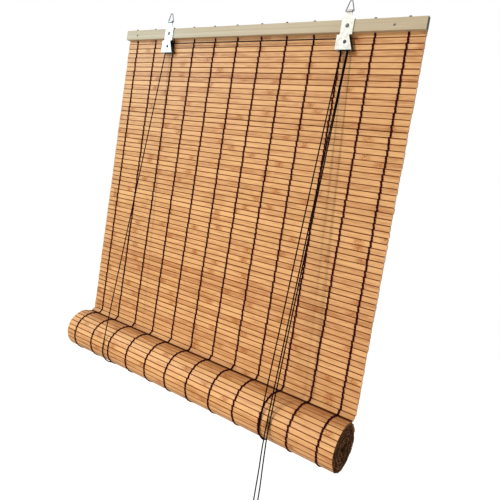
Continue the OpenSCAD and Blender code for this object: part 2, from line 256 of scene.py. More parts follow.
def grime_group():
    """Uneven patches and specks for fibrous, plated, moulded and spun surfaces."""
    name = "Surface patches"
    if name in bpy.data.node_groups:
        return bpy.data.node_groups[name]
    group, entry, leave = new_group(
        name, [("Vector", "NodeSocketVector"), ("Scale", "NodeSocketFloat")], ["Patches", "Specks"])
    patches = new_node(
        group, "ShaderNodeTexNoise", Vector=entry.outputs["Vector"], Scale=entry.outputs["Scale"], Detail=4.0)
    fine = math_node(group, "MULTIPLY", entry.outputs["Scale"], SPECK_RATE)
    specks = new_node(group, "ShaderNodeTexVoronoi", Vector=entry.outputs["Vector"], Scale=fine)
    group.links.new(patches.outputs[0], leave.inputs["Patches"])
    group.links.new(specks.outputs["Distance"], leave.inputs["Specks"])
    return group


def use_group(tree, group, **inputs):
    """The outputs of a group node with its inputs set or linked."""
    made = tree.nodes.new("ShaderNodeGroup")
    made.node_tree = group
    for name, value in inputs.items():
        feed(tree, made.inputs[name], value)
    return made.outputs


def object_place(tree):
    """The place on the object itself."""
    return tree.nodes.new("ShaderNodeTexCoord").outputs["Object"]


def slat_marks(tree):
    """What a slat's faces carry as Red, Green and Blue: depth of tone, pattern, and painted shade or saw cut.
    """
    marks = tree.nodes.new("ShaderNodeAttribute")
    marks.attribute_name = SLAT_TONE
    return new_node(tree, "ShaderNodeSeparateColor", Color=marks.outputs["Color"]).outputs


def blank_material(name):
    """A new material, its node tree and its Principled shader."""
    material = bpy.data.materials.new(name)
    material.use_nodes = True
    tree = material.node_tree
    return material, tree, tree.nodes["Principled BSDF"]


def set_surface(tree, shader, colour, wear, smoothest, spread):
    """Feeds the shader's colour, and a roughness that grows with wear."""
    tree.links.new(colour, shader.inputs["Base Color"])
    tree.links.new(math_node(tree, "MULTIPLY_ADD", wear, spread, smoothest), shader.inputs["Roughness"])


def add_bump(tree, shader, height, strength, distance):
    """Feeds a height through a Bump node to the shader's normal."""
    bump = new_node(tree, "ShaderNodeBump", Height=height, Strength=strength, Distance=distance)
    tree.links.new(bump.outputs["Normal"], shader.inputs["Normal"])


def scaled_colour(colour, share):
    """A lighter or darker colour."""
    return tuple(min(1.0, share * part) for part in colour)


# Finishes

# Bamboo: how far apart two slats' patterns lie, and each pattern's share in the depth of colour
SLAT_OFFSET = 90.0
FIBRE_SHARE = 1.1
DASH_SHARE = 0.8
DRIFT_SHARE = 0.7
# Node marks: their number on a metre, half their width as a share of their distance, and their strength
NODES_PER_METRE = 3.7
NODE_HALF_WIDTH = 0.05
NODE_STRENGTH = 0.85
# The brown rim on a slat's face: how far from the edge it starts and is full, and its strength
RIM_START = 0.9 * MM
RIM_FULL = 0.3 * MM
RIM_STRENGTH = 0.4


def bamboo_finish(colours, half_width):
    """Split bamboo: each slat has its own tone, fibres, node marks and brown rims."""
    material, tree, shader = blank_material(BAMBOO)
    uv = tree.nodes.new("ShaderNodeUVMap")
    uv.uv_map = SLAT_UV
    place = new_node(tree, "ShaderNodeSeparateXYZ", Vector=uv.outputs[0]).outputs
    marks = slat_marks(tree)
    shift = math_node(tree, "MULTIPLY", marks["Green"], SLAT_OFFSET)
    vector = new_node(tree, "ShaderNodeCombineXYZ", X=place["X"], Y=place["Y"], Z=shift).outputs[0]
    fibres = use_group(tree, streak_group(), Vector=vector, Along=16.0, Across=1250.0)
    drift = use_group(tree, streak_group(), Vector=vector, Along=60.0, Across=500.0)
    # Share of the deep colour: the slat's own tone, fine fibres, dashes and slow drifts
    depth = marks["Red"]
    for pattern, share in (
            (fibres["Fine"], FIBRE_SHARE), (drift["Fine"], DASH_SHARE), (drift["Broad"], DRIFT_SHARE)):
        depth = math_node(tree, "MULTIPLY_ADD", math_node(tree, "SUBTRACT", pattern, 0.5), share, depth)
    shade = smooth_range(tree, depth, low=0.0, high=1.0)
    colour = mix_colour(tree, shade, colours.bamboo_pale, colours.bamboo_deep)
    # Node marks: short mottled bands, at other places on each slat
    turns = math_node(tree, "MULTIPLY_ADD", place["X"], NODES_PER_METRE, shift)
    away = math_node(tree, "ABSOLUTE", math_node(tree, "SUBTRACT", math_node(tree, "FRACT", turns), 0.5))
    band = smooth_range(tree, away, low=0.0, high=NODE_HALF_WIDTH, to_low=1.0, to_high=0.0)
    mottle = use_group(tree, grime_group(), Vector=vector, Scale=420.0)
    node = math_node(tree, "MULTIPLY", band, smooth_range(tree, mottle["Patches"], low=0.34, high=0.54))
    colour = mix_colour(tree, math_node(tree, "MULTIPLY", node, NODE_STRENGTH), colour, colours.node_mark)
    # Brown rims, and the painted shade of the crease and of the roll's inner turns
    side = math_node(tree, "ABSOLUTE", place["Y"])
    rim = smooth_range(tree, side, low=half_width - RIM_START, high=half_width - RIM_FULL)
    colour = mix_colour(tree, math_node(tree, "MULTIPLY", rim, RIM_STRENGTH), colour, colours.joint_brown)
    colour = mix_colour(tree, marks["Blue"], colour, colours.dark_fibre_and_shade)
    set_surface(tree, shader, colour, fibres["Fine"], smoothest=0.36, spread=0.25)
    shader.inputs["Specular IOR Level"].default_value = 0.22
    add_bump(tree, shader, fibres["Fine"], strength=0.35, distance=0.12 * MM)
    return material


# How much darker some slats are sawn than others
SAWN_VARIES = 0.35


def fibre_finish(colours):
    """Rough fibre: the slats' sawn ends and long edges, and the packing of thread and dust in the joints; the
    all-black packing at the open crease is painted shade.
    """
    material, tree, shader = blank_material(ROUGH_FIBRE)
    marks = slat_marks(tree)
    pores = use_group(tree, grime_group(), Vector=object_place(tree), Scale=900.0)
    speckle = math_node(tree, "MULTIPLY_ADD", marks["Green"], SAWN_VARIES, pores["Patches"])
    dark = smooth_range(tree, speckle, low=0.55, high=0.85)
    sawn = mix_colour(tree, dark, colours.end_brown, colours.dark_fibre_and_shade)
    packing = mix_colour(tree, marks["Red"], colours.joint_brown, colours.dark_fibre_and_shade)
    colour = mix_colour(tree, marks["Blue"], packing, sawn)
    set_surface(tree, shader, colour, pores["Patches"], smoothest=0.75, spread=0.2)
    shader.inputs["Specular IOR Level"].default_value = 0.03
    add_bump(tree, shader, pores["Specks"], strength=0.4, distance=0.15 * MM)
    return material


def mat_finishes(scene):
    """The bamboo and fibre finishes, made once."""
    made = [bpy.data.materials.get(name) for name in (BAMBOO, ROUGH_FIBRE)]
    if all(made):
        return made
    half = (scene.blind_mat.slat_pitch - scene.blind_mat.slat_gap) / 2
    return [bamboo_finish(scene.blind_colours, half), fibre_finish(scene.blind_colours)]


# Pine: how fast the grain changes with depth, and the shares of fine rings and broad bands
GRAIN_SHIFT = 60.0
RING_SHARE = 0.75
BAND_SHARE = 0.55
# How far in from the rail's ends the darker end grain and painted shade start and are full
ENDS_DARKEN_START = 0.5 * MM
ENDS_DARKEN_FULL = 0.1 * MM


def pine_finish(colours):
    """Planed pale pine, with its grain along the rail."""
    material, tree, shader = blank_material("planed pine")
    place = object_place(tree)
    wear = use_group(tree, streak_group(), Vector=place, Along=9.0, Across=420.0)
    split = new_node(tree, "ShaderNodeSeparateXYZ", Vector=place).outputs
    # The grain has to differ over the rail's height too, so Z is laid on the streaks' Y
    depth = math_node(tree, "MULTIPLY", split["Y"], GRAIN_SHIFT)
    turned = new_node(tree, "ShaderNodeCombineXYZ", X=split["X"], Y=split["Z"], Z=depth).outputs[0]
    rings = use_group(tree, streak_group(), Vector=turned, Along=7.0, Across=900.0)
    bands = math_node(tree, "MULTIPLY", rings["Broad"], BAND_SHARE)
    share = math_node(tree, "MULTIPLY_ADD", rings["Fine"], RING_SHARE, bands)
    grain = smooth_range(tree, share, low=0.42, high=0.95)
    colour = mix_colour(tree, grain, colours.pine_pale, colours.pine_grain)
    # The sawn ends are dark: darker end grain, and painted shade
    out = math_node(tree, "ABSOLUTE", split["X"])
    end_grain_and_shade = smooth_range(tree, out, low=RAIL_HIGH.x - ENDS_DARKEN_START, high=RAIL_HIGH.x - ENDS_DARKEN_FULL)
    colour = mix_colour(tree, end_grain_and_shade, colour, colours.pine_end)
    set_surface(tree, shader, colour, wear["Fine"], smoothest=0.45, spread=0.2)
    add_bump(tree, shader, rings["Fine"], strength=0.25, distance=0.1 * MM)
    return material


# Shares of a metal's colour: in its mottle, and in the painted shade on sheet behind the front face
MOTTLE_SHARE = 0.8
BEHIND_SHADE_SHARE = 0.2
# How far behind the front face the painted shade starts and is full
BEHIND_SHADE_START = 0.1 * MM
BEHIND_SHADE_FULL = 0.4 * MM


def metal_finish(name, colour, rough, front=None):
    """Plated or drawn metal with a faint mottle; folded sheet behind a front face at y front gets painted
    shade.
    """
    material, tree, shader = blank_material(name)
    place = object_place(tree)
    patches = use_group(tree, grime_group(), Vector=place, Scale=160.0)
    shade = smooth_range(tree, patches["Patches"], low=0.35, high=0.7)
    mixed = mix_colour(tree, shade, colour, scaled_colour(colour, MOTTLE_SHARE))
    # Sheet behind the front face is painted dark: painted shade on the folded sides
    if front is not None:
        depth = new_node(tree, "ShaderNodeSeparateXYZ", Vector=place).outputs["Y"]
        behind = smooth_range(tree, depth, low=front + BEHIND_SHADE_START, high=front + BEHIND_SHADE_FULL)
        mixed = mix_colour(tree, behind, mixed, scaled_colour(colour, BEHIND_SHADE_SHARE))
    set_surface(tree, shader, mixed, patches["Patches"], smoothest=rough, spread=0.14)
    shader.inputs["Metallic"].default_value = 1.0
    add_bump(tree, shader, patches["Specks"], strength=0.03, distance=0.05 * MM)
    return material


# How much lighter the pale patches of soft stuff are
PALE_SHARE = 1.6


def soft_finish(name, colour, scale, rough, bump, gloss):
    """Spun or moulded stuff: one colour that varies a little, with a fine surface."""
    material, tree, shader = blank_material(name)
    patches = use_group(tree, grime_group(), Vector=object_place(tree), Scale=scale)
    shade = smooth_range(tree, patches["Patches"], low=0.35, high=0.75)
    mixed = mix_colour(tree, shade, colour, scaled_colour(colour, PALE_SHARE))
    set_surface(tree, shader, mixed, patches["Patches"], smoothest=rough, spread=0.2)
    shader.inputs["Specular IOR Level"].default_value = gloss
    add_bump(tree, shader, patches["Specks"], strength=bump, distance=0.15 * MM)
    return material


# Shapes of the mat, as joints (y, z) on its outer face

def outward(way):
    """The room side of a run along way."""
    return Vector((way.y, -way.x))


def fold_places(mat, roll):
    """The crease below the leaning slat, and the way of the bridge from there."""
    fold = Vector((MAT_FRONT, MAT_TOP - (mat.hanging_slats + 1) * mat.slat_pitch))
    lean = Vector((-math.sin(roll.fold_angle), -math.cos(roll.fold_angle)))
    bridge = Vector((-math.cos(roll.bridge_angle), math.sin(roll.bridge_angle)))
    return fold + mat.slat_pitch * lean, bridge


def hanging_joints(mat, roll):
    """Joints from the clamped slat down to the crease."""
    crease, _ = fold_places(mat, roll)
    joints = [Vector((MAT_FRONT, MAT_TOP - k * mat.slat_pitch)) for k in range(mat.hanging_slats + 2)]
    return joints + [crease]


# Where round the roll the loosely wound mat stands out most, and over how much of it
LOOSE_AT = math.radians(326)
LOOSE_SPREAD = math.radians(21)


def rolled_joints(mat, roll, until=None):
    """Joints from the crease over the bridge and round the roll, inwards."""
    crease, bridge = fold_places(mat, roll)
    joints = [crease + k * mat.slat_pitch * bridge for k in range(roll.bridge_slats)]
    centre = crease + roll.bridge_slats * mat.slat_pitch * bridge - Vector((0.0, roll.radius))
    drop = (mat.slat_thickness + roll.turn_gap) / math.tau
    angle = 0.0
    radius = roll.radius
    while radius > roll.core + drop * math.tau and (until is None or angle < until):
        rise = roll.loose_rise * math.exp(-((angle - LOOSE_AT) / LOOSE_SPREAD) ** 2)
        joints.append(centre + (radius + rise) * Vector((-math.sin(angle), math.cos(angle))))
        angle += mat.slat_pitch / (radius + rise)
        radius = roll.radius - drop * angle
    return joints


def slat_place(first, last, thickness):
    """Matrix that lays a slat on the outer face between two joints."""
    way = (last - first).normalized()
    out = outward(way)
    middle = (first + last) / 2 - out * thickness / 2
    return Matrix((
        (1.0, 0.0, 0.0, 0.0),
        (0.0, -way.x, out.x, middle.x),
        (0.0, -way.y, out.y, middle.y),
        (0.0, 0.0, 0.0, 1.0)))


# Cuts along a slat, which let it wave
SLAT_CUTS = 4
# Shares of the slat gap between which a joint's width varies
GAP_LEAST, GAP_MOST = 0.45, 1.5
# Mean, spread and limits of the slats' depth of tone
TONE_MEAN, TONE_SPREAD = 0.36, 0.11
TONE_LEAST, TONE_MOST = 0.02, 0.95
# Waves on a metre of slat, how far apart two slats' waves lie, and the waves to the side
WAVE_RATE = 7.0
WAVE_OFFSET = 40.0
SIDE_SHARE = 0.7
SIDE_OFFSET = Vector((0.0, 0.0, 9.0))
# A face looks along an axis when its normal has more than this of it
FACES_AXIS = 0.9
# Number of the fibre material on a woven piece
FIBRE = 1
# How much more the ends of the slats with painted shade stray
SHADED_STRAY = 3.0


def long_edges(slat, length):
    """The edges that run along a slat."""
    return [edge for edge in slat.edges if abs(edge.verts[0].co.x - edge.verts[1].co.x) > length / 2]


def add_slat(mesh, mat, first, last, draw, ends, deeper, painted_shade):
    """One slat with eased edges, stray ends, a slight wave, its own tone and its share of painted shade."""
    width = (last - first).length - mat.slat_gap * draw.uniform(GAP_LEAST, GAP_MOST)
    stray = mat.uneven_ends * (SHADED_STRAY if painted_shade else 1.0)
    left = ends[0] + draw.uniform(-1.0, 1.0) * stray
    right = ends[1] + draw.uniform(-1.0, 1.0) * stray
    length = right - left
    slat = bmesh.new()
    bmesh.ops.create_cube(slat, size=1.0, matrix=Matrix.Diagonal((length, width, mat.slat_thickness, 1.0)))
    bmesh.ops.bevel(
        slat, geom=long_edges(slat, length), offset=mat.edge_round, offset_type="OFFSET", segments=1,
        profile=0.5, affect="EDGES", material=-1)
    bmesh.ops.subdivide_edges(slat, edges=long_edges(slat, length), cuts=SLAT_CUTS, use_grid_fill=True)
    uv_layer = slat.loops.layers.uv.new(SLAT_UV)
    tone_layer = slat.loops.layers.float_color.new(SLAT_TONE)
    tone = min(TONE_MOST, max(TONE_LEAST, draw.gauss(TONE_MEAN, TONE_SPREAD) + deeper))
    shift = draw.random()
    slat.normal_update()
    for face in slat.faces:
        face.smooth = True
        sawn = abs(face.normal.x) > FACES_AXIS
        edge = not sawn and abs(face.normal.z) < FACES_AXIS
        face.material_index = FIBRE if sawn or edge else 0
        marks = (0.0, shift, 0.0, 1.0) if edge else (tone, shift, 1.0 if sawn else painted_shade, 1.0)
        for loop in face.loops:
            loop[uv_layer].uv = (loop.vert.co.x, loop.vert.co.y)
            loop[tone_layer] = marks
    for vert in slat.verts:
        along = Vector((vert.co.x * WAVE_RATE, shift * WAVE_OFFSET, 0.0))
        vert.co.z += mat.waviness * noise.noise(along)
        vert.co.y += SIDE_SHARE * mat.waviness * noise.noise(along + SIDE_OFFSET)
    slat.transform(Matrix.Translation(((left + right) / 2, 0.0, 0.0)))
    slat.transform(slat_place(first, last, mat.slat_thickness))
    piece = bpy.data.meshes.new("slat")
    slat.to_mesh(piece)
    slat.free()
    mesh.from_mesh(piece)
    bpy.data.meshes.remove(piece)


# Packing in a joint: its lap under the slats, its depth as a share of their thickness, its own
# thickness, and how much shorter than the mat it is
WEFT_LAP = 0.3 * MM
WEFT_DEPTH = 0.4
WEFT_THICKNESS = 0.5 * MM
WEFT_SHORT = 2 * MM
# Shares of black between which the packing varies
DARK_LEAST, DARK_MOST = 0.3, 0.9


def add_weft(mesh, mat, before, joint, after, ends, dark, half_gap):
    """The packing of thread and fibre that closes a joint between two slats; dark is its share of black."""
    way = (after - before).normalized()
    reach = way * (half_gap + WEFT_LAP)
    sunk = outward(way) * mat.slat_thickness * WEFT_DEPTH
    place = slat_place(joint - reach - sunk, joint + reach - sunk, WEFT_THICKNESS)
    size = Matrix.Diagonal((ends[1] - ends[0] - WEFT_SHORT, 2 * reach.length, WEFT_THICKNESS, 1.0))
    made = bmesh.ops.create_cube(mesh, size=1.0, matrix=place @ size)
    tone_layer = mesh.loops.layers.float_color[SLAT_TONE]
    for face in {face for vert in made["verts"] for face in vert.link_faces}:
        face.material_index = FIBRE
        for loop in face.loops:
            loop[tone_layer] = (dark, 0.0, 0.0, 1.0)


# Painted shade of the roll's inner turns, and the deeper tone and painted shade of the slat at the open
# crease
INNER_TURN_SHADE = 0.8
CREASE_DEPTH = 0.25
CREASE_SHADE = 0.5
# Edges sharper than this aren't shaded smooth
SHARP_ANGLE = math.radians(30)


def woven_piece(name, mat, joints, seed, materials, crease=None, outer=None):
    """A run of slats between joints as one piece.

    The slat after an open crease gets a deeper tone and painted shade. Slats past the outer ones get dark
    painted shade.
    """
    draw = random.Random(seed)
    mesh = bmesh.new()
    mesh.loops.layers.uv.new(SLAT_UV)
    mesh.loops.layers.float_color.new(SLAT_TONE)
    ends = (MAT_LOW.x, MAT_HIGH.x)
    for index, (first, last) in enumerate(zip(joints, joints[1:])):
        deeper, painted_shade = 0.0, 0.0
        if crease is not None and index == 0:
            deeper, painted_shade = CREASE_DEPTH, CREASE_SHADE
        elif outer is not None and index > outer:
            painted_shade = INNER_TURN_SHADE
        add_slat(mesh, mat, first, last, draw, ends, deeper, painted_shade)
    for before, joint, after in zip(joints, joints[1:], joints[2:]):
        dark = draw.uniform(DARK_LEAST, DARK_MOST)
        add_weft(mesh, mat, before, joint, after, ends, dark, mat.slat_gap / 2)
    # All-black packing closes the opened crease: the crease's painted shade
    if crease is not None:
        opening = joints[0] - crease
        add_weft(mesh, mat, crease - opening, crease, joints[0], ends, 1.0, opening.length)
    data = bpy.data.meshes.new(name)
    mesh.to_mesh(data)
    mesh.free()
    data.set_sharp_from_angle(angle=SHARP_ANGLE)
    for material in materials:
        data.materials.append(material)
    return link_piece(name, data)


def link_piece(name, data):
    """Puts a new object at the origin and lets it move with the blind."""
    piece = bpy.data.objects.new(name, data)
    bpy.context.scene.collection.objects.link(piece)
    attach(piece, BODY)
    return piece


def tube_data(name, radius, runs, material, resolution=2):
    """Curve data with one open poly spline for each run of points."""
    data = bpy.data.curves.new(name, "CURVE")
    data.dimensions = "3D"
    data.bevel_depth = radius
    data.bevel_resolution = resolution
    data.use_fill_caps = True
    for points in runs:
        spline = data.splines.new("POLY")
        spline.points.add(len(points) - 1)
        for target, point in zip(spline.points, points):
            target.co = (*point, 1.0)
    data.materials.append(material)
    return data


# Plies of a thread: height over the slats, dip at the joints, distance from the middle, rise of the twist
PLY_LIFT = 0.5 * MM
PLY_DIP = 0.40 * MM
PLY_SIDE = 0.92 * MM
PLY_RISE = 0.16 * MM
# How sharply a thread dips at a joint, and its points on each slat
DIP_POWER = 3
PLY_STEPS = 7
# How far a thread strays from its line, and between which slants it crosses a slat
THREAD_STRAY = 0.5 * MM
SLANT_LEAST, SLANT_MOST = 0.6 * MM, 2.2 * MM


def strand_runs(x, joints, face, mat, draw):
    """Two plies that twist over the slats between joints; face is 1 on the outer side and -1 on the back."""
    plies = ([], [])
    run = 0.0
    for first, last in zip(joints, joints[1:]):
        length = (last - first).length
        out = outward((last - first).normalized()) * face
        base = Vector((0.0, 0.0)) if face > 0 else out * mat.slat_thickness
        stray = draw.uniform(-THREAD_STRAY, THREAD_STRAY)
        slant = draw.uniform(SLANT_LEAST, SLANT_MOST)
        for step in range(PLY_STEPS):
            share = step / PLY_STEPS
            spot = first.lerp(last, share) + base
            lift = PLY_LIFT - PLY_DIP * (1.0 - math.sin(math.pi * share)) ** DIP_POWER
            side = stray + slant * (share - 0.5)
            for index, ply in enumerate(plies):
                turn = math.tau * (run + share * length) / mat.ply_lay + math.pi * index
                high = spot + out * (lift + PLY_RISE * math.sin(turn))
                ply.append((x + side + PLY_SIDE * math.cos(turn), high.x, high.y))
        run += length
    return plies


# Cord routes in millimetres: from the rear batten, under the roll, to the pulleys and the hank
LEFT_ROUTE = [
    (-188, 12.7, -44), (-188, 12.7, -60), (-188, 15.5, -240), (-188, 18.5, -440),
    (-188, 21.5, -637.5), (-188, 19.5, -651), (-188, 13, -662), (-188, 3, -670.5),
    (-188, -9, -675), (-188, -22, -675), (-188, -34.5, -671), (-188, -45, -662.5),
    (-188, -51.5, -651), (-188, -54, -638), (-188, -36, -456), (-188, -18, -274),
    (-188.2, 1.6, -75), (-188.4, 2.55, -58.5), (-187.6, 2.55, -55.8), (-185.7, 2.55, -53.8),
    (-183, 2.55, -53.1), (0, 2.55, -53.1), (183, 2.55, -53.1), (185.7, 2.55, -53.8),
    (187.6, 2.55, -55.8), (188.4, 2.55, -58.5), (188.5, 1.6, -75), (189, -18, -274),
    (189.5, -36, -456), (190.5, -54, -638), (190.5, -54.5, -655), (190, -54, -680),
    (190.5, -53.5, -705), (190, -53, -730), (190, -53, -752), (190, -53, -774)]
RIGHT_ROUTE = [
    (178, 12.7, -44), (178, 12.7, -60), (178, 15.5, -240), (178, 18.5, -440),
    (178, 21.5, -637.5), (178, 19.5, -651), (178, 13, -662), (178, 3, -670.5),
    (178, -9, -675), (178, -22, -675), (178, -34.5, -671), (178, -45, -662.5),
    (178, -51.5, -651), (178, -54, -638), (178, -36, -456), (178, -18, -274),
    (177.8, 3.4, -75), (177.6, 4.65, -58.5), (178.4, 4.65, -55.8), (180.3, 4.65, -53.8),
    (183, 4.65, -53.1), (185.7, 4.65, -53.8), (187.6, 4.65, -55.8), (188.4, 4.65, -58.5),
    (189.4, 3.6, -75), (191.2, -17, -274), (193, -35.5, -456), (195, -54, -638),
    (195, -54.5, -655), (195.5, -54, -680), (196, -53.5, -705), (197, -53, -730),
    (197, -53, -745), (197, -53, -760)]


# Share of a leg that is cut off at each corner
CORNER_CUT = 0.25


def smooth_route(points, rounds=3):
    """The points in metres, with every corner cut until the line bends evenly."""
    line = [Vector(point) * MM for point in points]
    for _ in range(rounds):
        cut = [line[0]]
        for first, last in zip(line, line[1:]):
            cut += [first.lerp(last, CORNER_CUT), first.lerp(last, 1.0 - CORNER_CUT)]
        line = cut + [line[-1]]
    return line


def line_length(line):
    """Length of a line of points."""
    return sum((last - first).length for first, last in zip(line, line[1:]))


# A hank's nested layers, and how far the cord bows out where it passes to the next one
HANK_LAYERS = 3
HANK_BOW = 0.8 * MM
# The runs and bends of one turn, and the points on each
TURN_PARTS = 4
RUN_STEPS = 4
BEND_STEPS = 12


def hank_line(end, side, cord):
    """Turns of a hank in nested layers below the end of a route; side is where it hangs."""
    rim = cord.hank_radius + cord.diameter / 2
    shoulder = math.sqrt(rim ** 2 - (rim - cord.diameter) ** 2)
    middle = end.x + side * cord.hank_radius
    top = end.z - shoulder
    line = []
    for turn in range(HANK_LAYERS * (cord.hank_turns + 1) - 1):
        layer, number = divmod(turn, cord.hank_turns + 1)
        crossing = number == cord.hank_turns
        for part in range(TURN_PARTS):
            steps = BEND_STEPS if part % 2 else RUN_STEPS
            for step in range(steps):
                share = (part + step / steps) / TURN_PARTS
                inset = layer + (share if crossing else 0.0)
                radius = cord.hank_radius - cord.hank_pitch * inset
                depth = cord.hank_turns if crossing else number + share
                if layer % 2:
                    depth = cord.hank_turns - depth
                bow = HANK_BOW * math.sin(math.pi * share) if crossing else 0.0
                y = end.y + cord.hank_pitch * depth + (bow if layer % 2 == 0 else -bow)
                across, high = racetrack(part, step / steps, radius, cord.hank_run)
                line.append(Vector((middle - side * across, y, top + high)))
    inner = cord.hank_radius - cord.hank_pitch * (HANK_LAYERS - 1)
    line.append(Vector((middle - side * inner, end.y + cord.hank_pitch * cord.hank_turns, top)))
    return line


# The last of the cord's tail: its drop, the way it moves back meanwhile, and its points
TAIL_DRIFT = 12 * MM
TAIL_BACK = 3.6 * MM
TAIL_STEPS = 12


def hank_tail(last, length):
    """The end of the cord: down the inner run under the tie, and then out behind the hank."""
    drift = []
    for step in range(TAIL_STEPS + 1):
        share = step / TAIL_STEPS
        drift.append(Vector((0.0, TAIL_BACK * (1.0 - math.cos(math.pi * share)) / 2, -TAIL_DRIFT * share)))
    straight = length - line_length(drift)
    return [last + Vector((0.0, 0.0, -straight)) + point for point in drift]


def racetrack(part, share, radius, run):
    """Point of a loop that goes down one run, round, up the other and round again."""
    if part == 0:
        return radius, -run * share
    if part == 1:
        return radius * math.cos(math.pi * share), -run - radius * math.sin(math.pi * share)
    if part == 2:
        return -radius, -run * (1.0 - share)
    return -radius * math.cos(math.pi * share), radius * math.sin(math.pi * share)


# A knot's size, its depth as a share of that, and its points
KNOT_SIZE = 1.15 * MM
KNOT_DEPTH = 1.2
KNOT_STEPS = 60


def knot_line(middle):
    """Closed overhand knot round a point."""
    line = []
    for step in range(KNOT_STEPS):
        turn = math.tau * step / KNOT_STEPS
        line.append(middle + KNOT_SIZE * Vector((
            math.sin(turn) + 2 * math.sin(2 * turn),
            -KNOT_DEPTH * math.sin(3 * turn),
            math.cos(turn) - 2 * math.cos(2 * turn))))
    return line


# A tie's turns, the points on each, and the power that squares its corners
TIE_TURNS = 4
TIE_STEPS = 28
TIE_SQUARE = 0.6


def squared(part):
    """A sine or cosine raised towards its limit, which squares a circle's corners."""
    return math.copysign(abs(part) ** TIE_SQUARE, part)


def tie_line(low, high, cord):
    """Turns of a short cord round the waist of a hank that fills the box."""
    radius = cord.diameter / 2
    middle = (low + high) / 2
    half_x = (high.x - low.x) / 2 + radius
    half_y = (high.y - low.y) / 2 + radius
    line = []
    for step in range(TIE_TURNS * TIE_STEPS + 1):
        turn = math.tau * step / TIE_STEPS
        across = half_x * squared(math.cos(turn))
        deep = half_y * squared(math.sin(turn))
        rise = (step / TIE_STEPS - TIE_TURNS / 2) * cord.hank_pitch
        line.append(middle + Vector((across, deep, rise)))
    return line


# Operators

# Seeds of the random draws
HANGING_SEED = 11
ROLLED_SEED = 23
THREAD_SEED = 100
# Share of the first slat after the crease that stays open
CREASE_OPEN = 0.5
# A thread's cut end: its depth in the rail's slot and its height out of it
END_DEPTH = 4 * MM
END_HEIGHT = 0.5 * MM
# Its hitch: how far behind the rail's front it lies and how far it strays to the side, and its points
# in millimetres, to the side, backwards and above the rail
HITCH_BACK = 2 * MM
HITCH_STRAY = 1 * MM
HITCH = ((-1.8, 1.0, 0.7), (0.0, 0.0, 1.1), (1.8, 0.6, 0.7))


class BLIND_OT_hanging_mat(bpy.types.Operator):
    """Weave the slats from the rail down to the fold"""
    bl_idname = "blind.hanging_mat"
    bl_label = "Hanging Mat"

    def execute(self, context):
        scene = context.scene
        joints = hanging_joints(scene.blind_mat, scene.blind_roll)
        piece = woven_piece("hanging_mat", scene.blind_mat, joints, HANGING_SEED, mat_finishes(scene))
        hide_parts("hanging_slats")
        return {"FINISHED"}


class BLIND_OT_rolled_mat(bpy.types.Operator):
    """Wind the rest of the slats into the roll"""
    bl_idname = "blind.rolled_mat"
    bl_label = "Rolled Mat"

    def execute(self, context):
        scene = context.scene
        joints = rolled_joints(scene.blind_mat, scene.blind_roll)
        # The crease stays open, and its black thread packing shows there as the crease's painted shade
        crease = joints[0]
        joints[0] = crease.lerp(joints[1], CREASE_OPEN)
        outer = len(rolled_joints(scene.blind_mat, scene.blind_roll, until=math.tau))
        finishes = mat_finishes(scene)
        piece = woven_piece("rolled_mat", scene.blind_mat, joints, ROLLED_SEED, finishes, crease, outer)
        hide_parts("rolled_slats")
        return {"FINISHED"}


class BLIND_OT_warp_threads(bpy.types.Operator):
    """Twist the warp threads over the slats"""
    bl_idname = "blind.warp_threads"
    bl_label = "Warp Threads"

    def execute(self, context):
        scene = context.scene
        mat = scene.blind_mat
        roll = scene.blind_roll
        finish = soft_finish(
            "spun thread", scene.blind_colours.thread, scale=700.0, rough=0.75, bump=0.5, gloss=0.04)
        below = [joint for joint in hanging_joints(mat, roll)[:-1] if joint.y < RAIL_BOTTOM]
        hanging = [Vector((MAT_FRONT, RAIL_BOTTOM))] + below
        front = hanging + rolled_joints(mat, roll, until=roll.thread_turn)
        slot = MAT_FRONT + mat.slat_thickness / 2
        for number, node in enumerate(THREADS):
            low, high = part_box(node)
            draw = random.Random(THREAD_SEED + number)
            x = (low.x + high.x) / 2
            runs = [*strand_runs(x, front, 1, mat, draw), *strand_runs(x, hanging, -1, mat, draw)]
            # A cut end comes out of the slot and ends in a half hitch on the front batten
            knot = Vector((x + draw.uniform(-1.0, 1.0) * HITCH_STRAY, RAIL_LOW.y + HITCH_BACK, RAIL_TOP))
            hitch = [knot + Vector(point) * MM for point in HITCH]
            runs.append([(x, slot, RAIL_TOP - END_DEPTH), (x, slot, RAIL_TOP + END_HEIGHT), *hitch])
            data = tube_data(node, mat.ply_radius, runs, finish, resolution=1)
            piece = link_piece(f"twisted_thread_{number + 1:02d}", data)
            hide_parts(node)
        return {"FINISHED"}


class BLIND_OT_cords(bpy.types.Operator):
    """Lead both lifting cords round the roll and over the pulleys to their hanks"""
    bl_idname = "blind.cords"
    bl_label = "Cords"

    def execute(self, context):
        scene = context.scene
        cord = scene.blind_cord
        finish = soft_finish(
            "braided cord", scene.blind_colours.cord, scale=900.0, rough=0.6, bump=0.5, gloss=0.03)
        radius = cord.diameter / 2
        for side, route, hang, length in (
                ("left", LEFT_ROUTE, -1, cord.left_length), ("right", RIGHT_ROUTE, 1, cord.right_length)):
            line = smooth_route(route)
            line += hank_line(line[-1], hang, cord)
            spare = length - line_length(line)
            if not 2 * TAIL_DRIFT < spare < cord.hank_run + TAIL_DRIFT:
                raise ValueError(f"the {side} cord has {spare:.4f} m left for its tail")
            line += hank_tail(line[-1], spare)
            data = tube_data(f"{side}_lifting_cord", radius, [line], finish, resolution=4)
            piece = link_piece(f"{side}_lifting_cord", data)
            low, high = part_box(f"{side}_cord_hank")
            tie_data = tube_data(f"{side}_tie", radius, [tie_line(low, high, cord)], finish)
            tie = link_piece(f"{side}_hank_tie", tie_data)
            knot_data = tube_data(f"{side}_knot", radius, [knot_line(line[-1])], finish)
            knot_data.splines[0].use_cyclic_u = True
            knot = link_piece(f"{side}_end_knot", knot_data)
            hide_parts(f"{side}_cord", f"{side}_cord_hank")
        return {"FINISHED"}


